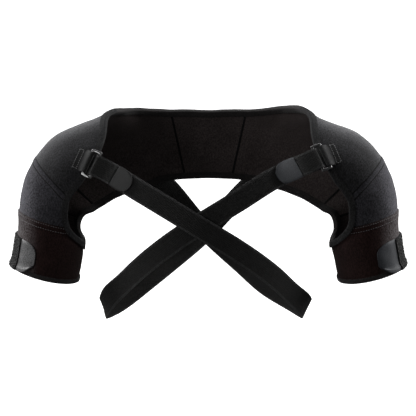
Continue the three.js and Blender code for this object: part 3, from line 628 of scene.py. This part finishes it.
# %% [markdown]
# ## Edge bindings and hems
# A binding is a tape folded over the raw edge of the neoprene. The copies keep their channel form,
# and a weaker crease lets the fold become round. The hems at the sleeve ends are narrower.

# %% Dress the bindings
BINDINGS = ["neck_binding", "lower_binding", "left_cuff_binding", "right_cuff_binding"]
CHANNEL_POINTS = 9
HEM_RINGS = 18


def links_of(piece):
    """For each vertex, the vertices that it shares an edge with."""
    links = {vertex.index: set() for vertex in piece.data.vertices}
    for edge in piece.data.edges:
        a, b = edge.vertices
        links[a].add(b)
        links[b].add(a)
    return links


def ring_cycle(members, links):
    """The members of one ring in order round it."""
    members = set(members)
    start = min(members)
    cycle = [start]
    while len(cycle) < len(members):
        ahead = [n for n in links[cycle[-1]] if n in members and n not in cycle]
        if not ahead:
            return None
        cycle.append(ahead[0])
    return cycle


def layers_from(start, links):
    """The vertices in layers, by how many edges they lie from the start."""
    seen = set(start)
    layers = [set(start)]
    while True:
        ahead = {n for v in layers[-1] for n in links[v]} - seen
        if not ahead:
            return layers
        layers.append(ahead)
        seen |= ahead


def channel_ring(cycle, points):
    """A ring turned to start at the outer ply's inner corner, and the middles of both plies."""
    count = len(cycle)
    gaps = [np.linalg.norm(points[cycle[i]] - points[cycle[(i + 1) % count]]) for i in range(count)]
    first, second = sorted(np.argsort(gaps)[:2])
    start = first + 1 if second - first == 4 else second + 1
    ring = [cycle[(start + i) % count] for i in range(count)]
    outer = points[[ring[i] for i in (0, 1, 7, 8)]].mean(axis=0)
    inner = points[[ring[i] for i in (3, 4, 5, 6)]].mean(axis=0)
    towards = shell_coordinates([(outer + inner) / 2])[2][0]
    if (outer - inner) @ towards < 0:
        ring = [ring[i] for i in (4, 3, 2, 1, 0, 8, 7, 6, 5)]
        outer, inner = inner, outer
    return ring, outer, inner


# From here forwards, the binding's outer ply gets the copy of the tape with painted light, which grows
# outwards from the nape.
SHOULDER_RIDGE = 12 * MM
binding_paths = {}
for node in BINDINGS:
    piece = copy_of(node, f"{node}_tape")
    points = points_of(piece)
    links = links_of(piece)
    if node.endswith("cuff_binding"):
        across = np.arctan2(points[:, 1], np.abs(points[:, 0]) - AXIS[-1][0])
        sector = np.round(np.degrees(across) * HEM_RINGS / 360).astype(int) % HEM_RINGS
        layers = [set(np.flatnonzero(sector == k)) for k in range(HEM_RINGS)]
    else:
        left_armpit = (points[:, 0] < 0) & (points[:, 2] < -150 * MM)
        end = np.flatnonzero(left_armpit & (np.abs(points[:, 1]) < 2 * MM))
        layers = layers_from(end, links)[1:-1]
    rows = []
    for layer in layers:
        cycle = ring_cycle(layer, links) if len(layer) == CHANNEL_POINTS else None
        if cycle is None:
            continue
        ring, outer, inner = channel_ring(cycle, points)
        normal = (outer - inner) / np.linalg.norm(outer - inner)
        rows.append((normal, points[ring[2]], points[ring[0]]))
    binding_paths[node] = rows
    round_off(piece, 2, 30, 0.35)
    drape(piece)
    piece.data.materials.append(dark_tape)
    piece.data.materials.append(binding_tape)
    if node == "neck_binding":
        centres = np.array([face.center for face in piece.data.polygons])
        outwards = shell_coordinates(centres)[2]
        for face, out in zip(piece.data.polygons, outwards):
            faces_out = face.normal.dot(Vector(out)) > -0.2
            face.material_index = int(face.center.y < SHOULDER_RIDGE and faces_out)
    stand_for(piece, node, dark_tape)
    print(node, "rings", len(rows), "of", len(layers), "faces", len(piece.data.polygons))

# %% [markdown]
# ## Bands and tabs
# Each cuff closes with a fuzzy loop band, and a smooth hook tab comes out from under it. The band
# gets a denser mesh whose outer face is roughened. The tabs stay smooth, and their free ends are
# drawn in to a round end.

# %% Dress the bands and tabs
# The left strap's tab gets the hook tape with painted shade, the left cuff's tab the one with painted
# light.
TAB_FINISHES = {"left_strap_tab": shaded_hook_tape, "left_cuff_tab": lit_hook_tape}
CUFF_TAB_END = 13 * MM
STRAP_TAB_END = 10 * MM
END_ROUNDNESS = 0.85


def roughen(piece, depth, size):
    """Lumps of a given depth and size on the face that looks outwards."""
    points = points_of(piece)
    normals = np.zeros(len(points) * 3)
    piece.data.vertices.foreach_get("normal", normals)
    normals = normals.reshape(-1, 3)
    outwards = shell_coordinates(points)[2]
    facing = np.clip((normals * outwards).sum(axis=1), 0, 1)
    lumps = np.array([noise.noise(Vector(p) / size) for p in points])
    set_points(piece, points + normals * (facing * lumps * depth)[:, None])


def round_end(piece, away, across, depth):
    """Draws a tab in towards its middle line over the last stretch of its free end."""
    points = points_of(piece)
    ahead = away / np.linalg.norm(away)
    across = across - ahead * (across @ ahead)
    across /= np.linalg.norm(across)
    middle = (points.max(axis=0) + points.min(axis=0)) / 2
    reached = points @ ahead
    share = np.clip((reached - reached.max() + depth) / depth, 0, 1)
    aside = (points - middle) @ across
    aside -= (aside.max() + aside.min()) / 2
    drawn = np.sqrt(1 - (END_ROUNDNESS * share)**2) - 1
    set_points(piece, points + across * (aside * drawn)[:, None])


for side in ("left", "right"):
    band = copy_of(f"{side}_cuff_band", f"{side}_loop_band")
    round_off(band, 3, 42, 0.7)
    drape(band)
    roughen(band, 0.5 * MM, 2.2 * MM)
    stand_for(band, f"{side}_cuff_band", pile)
    for place in ("cuff", "strap"):
        node = f"{side}_{place}_tab"
        tab = copy_of(node, f"{side}_{place}_hook_tab")
        round_off(tab, 2, 42, 0.6)
        middle = np.array(middle_of(node))
        if place == "cuff":
            drape(tab)
            ahead = middle - np.array(middle_of(f"{side}_cuff_band"))
            round_end(tab, ahead, shell_coordinates([middle])[3][0], CUFF_TAB_END)
        else:
            ahead = middle - np.array(middle_of(f"{side}_ring"))
            round_end(tab, ahead, np.cross(ahead, (0, 1, 0)), STRAP_TAB_END)
        stand_for(tab, node, TAB_FINISHES.get(node, blue_hook_tape))
    print(side, "band faces", len(band.data.polygons))

# %% [markdown]
# ## Straps
# The straps are ribbons of woven elastic. Before a strap is rounded, the rings of its mesh are
# walked from the sewn end, and each corner gets its length along and its place across as UV, so
# that the ribs of the weave turn with the strap.

# %% Dress the straps
STRAP_HALF = 12.5 * MM
STRAP_THICKNESS = 1.5 * MM
END_FACE = STRAP_HALF * STRAP_THICKNESS
strap_lines = {}


def is_end_face(face):
    """Whether a triangle has the size of half a strap's end."""
    return abs(face.area - END_FACE) < 1.2 * MM**2


def strap_start(piece, points):
    """The four corners of the strap's sewn end, found by the two small faces that close it."""
    best = None
    for face in piece.data.polygons:
        corners = points[list(face.vertices)]
        if corners[:, 1].min() > 40 * MM and is_end_face(face):
            if best is None or corners[:, 2].max() > best[0]:
                best = (corners[:, 2].max(), face)
    first = set(best[1].vertices)
    for face in piece.data.polygons:
        if face.index != best[1].index and len(first & set(face.vertices)) == 2:
            if is_end_face(face) and face.normal.dot(best[1].normal) > 0.9:
                return first | set(face.vertices)
    return first


def matched(previous, members, points):
    """The members in the order that follows the previous ring most closely."""
    before = points[previous] - points[previous].mean(axis=0)
    centre = points[list(members)].mean(axis=0)
    orders = itertools.permutations(sorted(members))
    return list(min(orders, key=lambda order: np.abs(points[list(order)] - centre - before).sum()))


for side in ("left", "right"):
    node = f"{side}_strap"
    strap = copy_of(node, f"{side}_elastic_strap")
    points = points_of(strap)
    links = links_of(strap)
    layers = layers_from(strap_start(strap, points), links)
    first = ring_cycle(layers[1], links)
    if np.linalg.norm(points[first[0]] - points[first[1]]) < 5 * MM:
        first = first[1:] + first[:1]
    rings = [matched(first, layers[0], points), first]
    for layer in layers[2:]:
        rings.append(matched(rings[-1], layer, points))
    centres = np.array([points[ring].mean(axis=0) for ring in rings])
    lengths = np.concatenate([[0], np.cumsum(np.linalg.norm(np.diff(centres, axis=0), axis=1))])
    place = {}
    for ring, length in zip(rings, lengths):
        for corner, half in zip(ring, (-1, 1, 1, -1)):
            place[corner] = (length, half * STRAP_HALF)
    layers = strap.data.uv_layers
    uv = layers[0] if layers else layers.new(name="weave")
    for loop in strap.data.loops:
        uv.data[loop.index].uv = place[loop.vertex_index]
    pulled = points.copy()
    pull(pulled, STRAP_PULLS)
    strap_lines[side] = [(pulled[ring], length) for ring, length in zip(rings, lengths)]
    round_off(strap, 3, 42, 0.55)
    soft = points_of(strap)
    pull(soft, STRAP_PULLS)
    set_points(strap, soft)
    stand_for(strap, node, elastic)
    print(side, "strap rings", len(rings), "length in mm", round(lengths[-1] / MM))

# %% [markdown]
# ## Rings and their webbing
# The rings are moulded, so their copies keep a rounded rectangular bar. The webbing stubs are soft
# and lose their edges a little. Both are copies of the CAD solids, so the loops stay round the bars.

# %% Dress the rings and stubs
RING_FINISHES = [
    ("ring", "gloss_ring", "ring", gloss, 0.0),
    ("ring_stub", "webbing_stub", "elastic", webbing, 0.6),
]
for side in ("left", "right"):
    for part, name, slot_name, finish, crease in RING_FINISHES:
        piece = copy_of(f"{side}_{part}", f"{side}_{name}")
        round_off(piece, 2, 60, crease)
        stand_for(piece, f"{side}_{part}", finish)
        print(side, name, "faces", len(piece.data.polygons))

# %% [markdown]
# ## One stitch
# A stitch is a short piece of thread that goes in at both ends. It is modelled once from a small
# sphere, laid on its side, and then copied along every seam. Each copy is stretched and set on the
# surface under it by a ray. A few dozen faces are enough for something that is repeated so often.

# %% Model a stitch
bpy.ops.object.select_all(action="DESELECT")
bpy.ops.mesh.primitive_uv_sphere_add(segments=6, ring_count=6, radius=1)
stitch_model = bpy.context.object
bpy.ops.object.mode_set(mode="EDIT")
bpy.ops.mesh.select_all(action="SELECT")
bpy.ops.transform.rotate(value=math.radians(90), orient_axis="Y", center_override=(0, 0, 0))
bpy.ops.object.mode_set(mode="OBJECT")
STITCH_POINTS = points_of(stitch_model)
STITCH_FACES = [list(face.vertices) for face in stitch_model.data.polygons]
bpy.data.objects.remove(stitch_model)
print("stitch faces", len(STITCH_FACES))

# %% [markdown]
# ## Rows of stitches
# A path is a smooth line through a few points, each with the direction that looks away from the
# cloth there. The line is cut into equal steps, and at each step a ray finds the cloth.

# %% Sew along a path
def line_at(at, passed, points):
    return np.stack([np.interp(at, passed, points[:, k]) for k in range(3)], axis=1)


def smooth_line(points, step):
    """Points, tangents and shares of the length at equal steps on a Catmull-Rom line."""
    points = np.asarray(points, float)
    ends = [2 * points[0] - points[1], *points, 2 * points[-1] - points[-2]]
    fine = []
    for a, b, c, d in zip(ends, ends[1:], ends[2:], ends[3:]):
        for t in np.linspace(0, 1, 12, endpoint=False):
            square = (2 * a - 5 * b + 4 * c - d) * t**2
            cube = (3 * b - a - 3 * c + d) * t**3
            fine.append(0.5 * (2 * b + (c - a) * t + square + cube))
    fine = np.array(fine + [points[-1]])
    passed = np.concatenate([[0], np.cumsum(np.linalg.norm(np.diff(fine, axis=0), axis=1))])
    at = np.arange(step / 2, passed[-1], step)
    placed = line_at(at, passed, fine)
    ahead = line_at(np.minimum(at + step / 4, passed[-1]), passed, fine)
    behind = line_at(np.maximum(at - step / 4, 0), passed, fine)
    return placed, ahead - behind, at / passed[-1]


def direction_at(share, directions):
    """The direction at a share of a line's length, between the directions at its points."""
    knots = np.linspace(0, 1, len(directions))
    return Vector(line_at([share], knots, np.asarray(directions))[0]).normalized()


def tree_of(pieces):
    corners, faces = [], []
    for piece in pieces:
        shift = len(corners)
        corners += [vertex.co.copy() for vertex in piece.data.vertices]
        faces += [[shift + i for i in face.vertices] for face in piece.data.polygons]
    return BVHTree.FromPolygons(corners, faces)


def trimming(name, corners, faces, material):
    """A piece of its own, which no CAD node stands for, from corners and faces."""
    mesh = bpy.data.meshes.new(name)
    mesh.from_pydata(corners, [], faces)
    mesh.update()
    mesh.materials.append(material)
    piece = bpy.data.objects.new(name, mesh)
    bpy.context.scene.collection.objects.link(piece)
    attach(piece, "root")
    return piece


# How far from the cloth a ray starts, in mm.
REACH = 6


def sew(name, lines, tree, material, pitch=3.0, length=2.2, width=0.55):
    """Stitches along lines of (points, directions), as one piece. Sizes are in mm."""
    corners, faces = [], []
    for points, directions in lines:
        for point, tangent, share in zip(*smooth_line(points, pitch * MM)):
            out = direction_at(share, directions)
            hit, normal = tree.ray_cast(Vector(point) + out * REACH * MM, -out, 2 * REACH * MM)[:2]
            if hit is None:
                continue
            along = Vector(tangent)
            along = (along - normal * along.dot(normal)).normalized()
            across = normal.cross(along)
            turn = np.array([along * length / 2, across * width / 2, normal * width / 2.4]).T * MM
            shift = len(corners)
            corners += [tuple(row) for row in STITCH_POINTS @ turn.T + np.array(hit)]
            faces += [[shift + i for i in face] for face in STITCH_FACES]
    piece = trimming(name, corners, faces, material)
    for face in piece.data.polygons:
        face.use_smooth = True
    print(name, "stitches", len(corners) // len(STITCH_POINTS))


# %% [markdown]
# ## Stitching on the bindings
# The tape is sewn down near its inner edge. The line of the stitches follows from the rings of the
# binding's channel: from the fold towards the inner edge of the outer ply.

# %% Sew the bindings
for node in BINDINGS:
    rows = binding_paths[node]
    share = 0.7 if node.endswith("cuff_binding") else 0.72
    points = [fold + (inset - fold) * share for normal, fold, inset in rows]
    directions = [normal for normal, fold, inset in rows]
    if node.endswith("cuff_binding"):
        points.append(points[0])
        directions.append(directions[0])
    sew(f"{node}_stitches", [(points, directions)], tree_of([cloth[node]]), thread)

# %% [markdown]
# ## Seams between the panels
# Where two panels meet, a flat tape covers the seam on both faces of the wall. The dart seam is
# felled: a raised band with a groove and a row of stitches on each side, and each groove is painted
# shade, a thin dark strip. The rims of neighbouring panels lie under 2 mm apart, so a seam's line is
# found from the panels themselves, and the two edges of a tape are set on them by rays.

# %% Find and sew the seams
WALL = 3 * MM
TAPE_STEP = 2.5 * MM
TAPE_PROFILE = [(-1, -0.35), (-1, 0.2), (-0.82, 0.9), (0, 1), (0.82, 0.9), (1, 0.2), (1, -0.35)]


def seam_line(first, second):
    """The outer rim points of the first panel along the second, with the wall's direction."""
    a, b = merged[first], merged[second]
    near = [i for i, p in enumerate(a) if np.linalg.norm(b - p, axis=1).min() < 1.8 * MM]
    distance = np.linalg.norm(a[:, None][near] - a[near][None], axis=2)
    angle, outwards = shell_coordinates(a[near])[1:3]
    rows = []
    for k in range(len(near)):
        partner = int(np.argmin(np.abs(distance[k] - WALL)))
        across = a[near[k]] - a[near[partner]]
        if abs(distance[k][partner] - WALL) < 0.5 * MM and across @ outwards[k] > 0:
            rows.append((angle[k], a[near[k]], across / np.linalg.norm(across)))
    rows.sort(key=lambda row: row[0])
    return [row[1] for row in rows], [row[2] for row in rows]


def inside_of(line):
    """The same seam on the inner face of the wall."""
    points, directions = line
    return [p - d * WALL for p, d in zip(points, directions)], [-d for d in directions]


def tape_along(name, lines, tree, width, thickness, material):
    """A flat tape laid on the cloth across a seam. Its two edges are set on the cloth by rays."""
    corners, faces = [], []
    for points, directions in lines:
        previous = None
        for point, tangent, share in zip(*smooth_line(points, TAPE_STEP)):
            out = direction_at(share, directions)
            along = Vector(tangent).normalized()
            out = (out - along * out.dot(along)).normalized()
            aside = along.cross(out)
            edges = []
            for half in (-0.5, 0.5):
                start = Vector(point) + aside * half * width * MM + out * REACH * MM
                edges.append(tree.ray_cast(start, -out, 2 * REACH * MM)[0])
            if None in edges:
                previous = None
                continue
            base = len(corners)
            middle = (edges[0] + edges[1]) / 2
            for across, lift in TAPE_PROFILE:
                edge = edges[0] if across < 0 else edges[1]
                spot = middle + (edge - middle) * abs(across)
                corners.append(spot + out * lift * thickness * MM)
            if previous is not None:
                count = len(TAPE_PROFILE)
                for k in range(count):
                    n = (k + 1) % count
                    faces.append([previous + k, previous + n, base + n, base + k])
            previous = base
    select_only(trimming(name, corners, faces, material))
    bpy.ops.object.mode_set(mode="EDIT")
    bpy.ops.mesh.select_all(action="SELECT")
    bpy.ops.mesh.fill_holes(sides=8)
    bpy.ops.mesh.normals_make_consistent(inside=False)
    bpy.ops.object.mode_set(mode="OBJECT")
    bpy.ops.object.shade_smooth_by_angle(angle=math.radians(50))


def shifted(line, amount):
    """The line moved along the shell by an amount in mm, towards the hem where it is positive."""
    points, directions = line
    along = shell_coordinates(points)[3]
    return [p + t * amount * MM for p, t in zip(points, along)], directions


all_panels = tree_of([cloth[node] for node in PANELS])
for side in ("left", "right"):
    back_seam = seam_line("back_panel", f"{side}_shoulder_panel")
    dart_seam = seam_line(f"{side}_shoulder_panel", f"{side}_deltoid_panel")
    cuff_seam = seam_line(f"{side}_deltoid_panel", f"{side}_cuff")
    print(side, "seam points", len(back_seam[0]), len(dart_seam[0]), len(cuff_seam[0]))
    tape_along(f"{side}_back_seam_tape", [back_seam], all_panels, 3.4, 0.5, seam_knit)
    tape_along(f"{side}_dart_seam_tape", [dart_seam], all_panels, 5.2, 0.55, arm_knit)
    for seam, line in (("back", back_seam), ("dart", dart_seam), ("cuff", cuff_seam)):
        tape_along(f"{side}_{seam}_seam_inside", [inside_of(line)], all_panels, 2.6, 0.5, seam_knit)
    # The grooves are painted shade: thin dark strips of the seam knit laid on the cloth.
    groove_shade_lines = [shifted(dart_seam, -3.4), shifted(dart_seam, 3.4)]
    tape_along(f"{side}_dart_seam_groove_shade", groove_shade_lines, all_panels, 1.9, 0.15, seam_knit)
    rows = [shifted(back_seam, -2.6), shifted(back_seam, 2.6)]
    rows += [shifted(dart_seam, -3.2), shifted(dart_seam, 3.2)]
    sew(f"{side}_seam_stitches", rows, all_panels, thread)
    cuff_rows = [shifted(cuff_seam, 1.6), shifted(cuff_seam, 7)]
    sew(f"{side}_cuff_lap_stitches", cuff_rows, all_panels, pale_thread)

# %% [markdown]
# ## Stitching on the straps and the webbing
# The straps are sewn down on the back with a box of stitches: two rows along each strap's edges
# and three across it, through the first rings of its mesh.

# %% Sew the straps
def strap_point(side, ring, across):
    """A point between a ring's edges, and the direction of the ring's outer face."""
    corners = strap_lines[side][ring][0]
    middle = corners.mean(axis=0)
    half = (corners[1] + corners[2] - corners[0] - corners[3]) / 4
    along = strap_lines[side][ring + 1][0].mean(axis=0) - middle
    face = np.cross(along, half)
    return middle + across * half, face / np.linalg.norm(face)


SEAT_RINGS = (0, 1, 2)
SEAT_EDGE = 0.78
BACKWARDS = Vector((0.2, 1, 0.1))
for side in ("left", "right"):
    lines = []
    for across in (-SEAT_EDGE, SEAT_EDGE):
        row = [strap_point(side, ring, across) for ring in SEAT_RINGS]
        lines.append(([p for p, d in row], [Vector((d[0], abs(d[1]), d[2])) for p, d in row]))
    for ring in SEAT_RINGS:
        row = [strap_point(side, ring, across) for across in (-SEAT_EDGE, 0, SEAT_EDGE)]
        lines.append(([p for p, d in row], [BACKWARDS] * 3))
    strap_tree = tree_of([cloth[f"{side}_strap"]])
    sew(f"{side}_seat_stitches", lines, strap_tree, thread, pitch=2.6, length=1.9)

# %% [markdown]
# The folded end of a strap has a dark row of stitches beside its tab, and the webbing that holds a
# ring is sewn down with a paler box. Both are found from the pieces: the last ring of the strap's
# mesh, and the side of the stub that lies furthest from its ring.

# %% Sew the folds and the webbing
FOLD_INSET = 1.6 * MM
FOLD_FRONT = Vector((0, -1, 0.15))
STUB_HALF = 11.4 * MM
STUB_INSET = 1.4 * MM
STUB_BOX = 5.1 * MM
for side in ("left", "right"):
    last, before = strap_lines[side][-1][0], strap_lines[side][-2][0]
    end = last.mean(axis=0)
    inwards = (before.mean(axis=0) - end) / np.linalg.norm(before.mean(axis=0) - end)
    half = (last[1] + last[2] - last[0] - last[3]) / 4
    row = [end + inwards * FOLD_INSET + half * k for k in (-0.9, 0, 0.9)]
    strap_tree = tree_of([cloth[f"{side}_strap"]])
    sew(f"{side}_fold_stitches", [(row, [FOLD_FRONT] * 3)], strap_tree, thread, 1.9, 1.6, 0.8)
    stub = cloth[f"{side}_ring_stub"]
    middle = middle_of(f"{side}_ring_stub")
    centre = np.array(middle)
    panel = tree_of([cloth[f"{side}_shoulder_panel"]])
    normal = np.array(panel.find_nearest(middle)[1])
    normal *= np.sign(normal @ shell_coordinates([middle])[2][0])
    away = np.array(middle - middle_of(f"{side}_ring"))
    away -= normal * (away @ normal)
    away /= np.linalg.norm(away)
    aside = np.cross(normal, away)
    edge = centre + away * ((points_of(stub) @ away).max() - centre @ away - STUB_INSET)
    box = []
    for depth in (0, STUB_BOX):
        row = [edge - away * depth + aside * k * STUB_HALF for k in (-1, 0, 1)]
        box.append((row, [normal] * 3))
    for k in (-1, 1):
        corner = edge + aside * k * STUB_HALF
        box.append(([corner, corner - away * 2.5 * MM, corner - away * 5 * MM], [normal] * 3))
    sew(f"{side}_stub_stitches", box, tree_of([stub]), pale_thread, 2.4, 1.9, 0.9)

# %% [markdown]
# ## Loop pile
# A loop band is a mat of tiny bent hairs that stand up from the tape. A few thousand of them,
# scattered by a seeded random choice on the faces that look outwards, break the band's outline and
# its highlights. Each one is a bent sliver of two faces.

# %% Grow the pile
HAIRS = 3200
HAIR_HALF_WIDTH = 0.14 * MM


def grow_pile(side):
    chance = random.Random(11 if side == "left" else 23)
    band = cloth[f"{side}_cuff_band"]
    centres = np.array([face.center for face in band.data.polygons])
    outwards = shell_coordinates(centres)[2]
    faces_out = [f for f, o in zip(band.data.polygons, outwards) if f.normal.dot(Vector(o)) > 0.4]
    areas = list(itertools.accumulate(face.area for face in faces_out))
    corners, faces = [], []
    for _ in range(HAIRS):
        face = chance.choices(faces_out, cum_weights=areas)[0]
        a, b, c = [band.data.vertices[i].co for i in face.vertices[:3]]
        point = a + (b - a) * chance.random() + (c - b) * chance.random()
        aside = face.normal.orthogonal().normalized()
        aside.rotate(Matrix.Rotation(chance.uniform(0, 6.28), 3, face.normal))
        lean = face.normal.cross(aside)
        height = chance.uniform(0.5, 1.1) * MM
        bend = chance.uniform(0.3, 1.0) * MM
        wide = aside * HAIR_HALF_WIDTH
        shift = len(corners)
        for lift, step in ((-0.1, 0), (0.8, 0.35), (1.0, 1.0)):
            middle = point + face.normal * lift * height + lean * step * bend
            corners += [middle - wide, middle + wide]
        for foot in (shift, shift + 2):
            faces.append([foot, foot + 1, foot + 3, foot + 2])
    trimming(f"{side}_pile", corners, faces, pile_fibre)
    return len(faces)


for side in ("left", "right"):
    print(side, "pile faces", grow_pile(side))
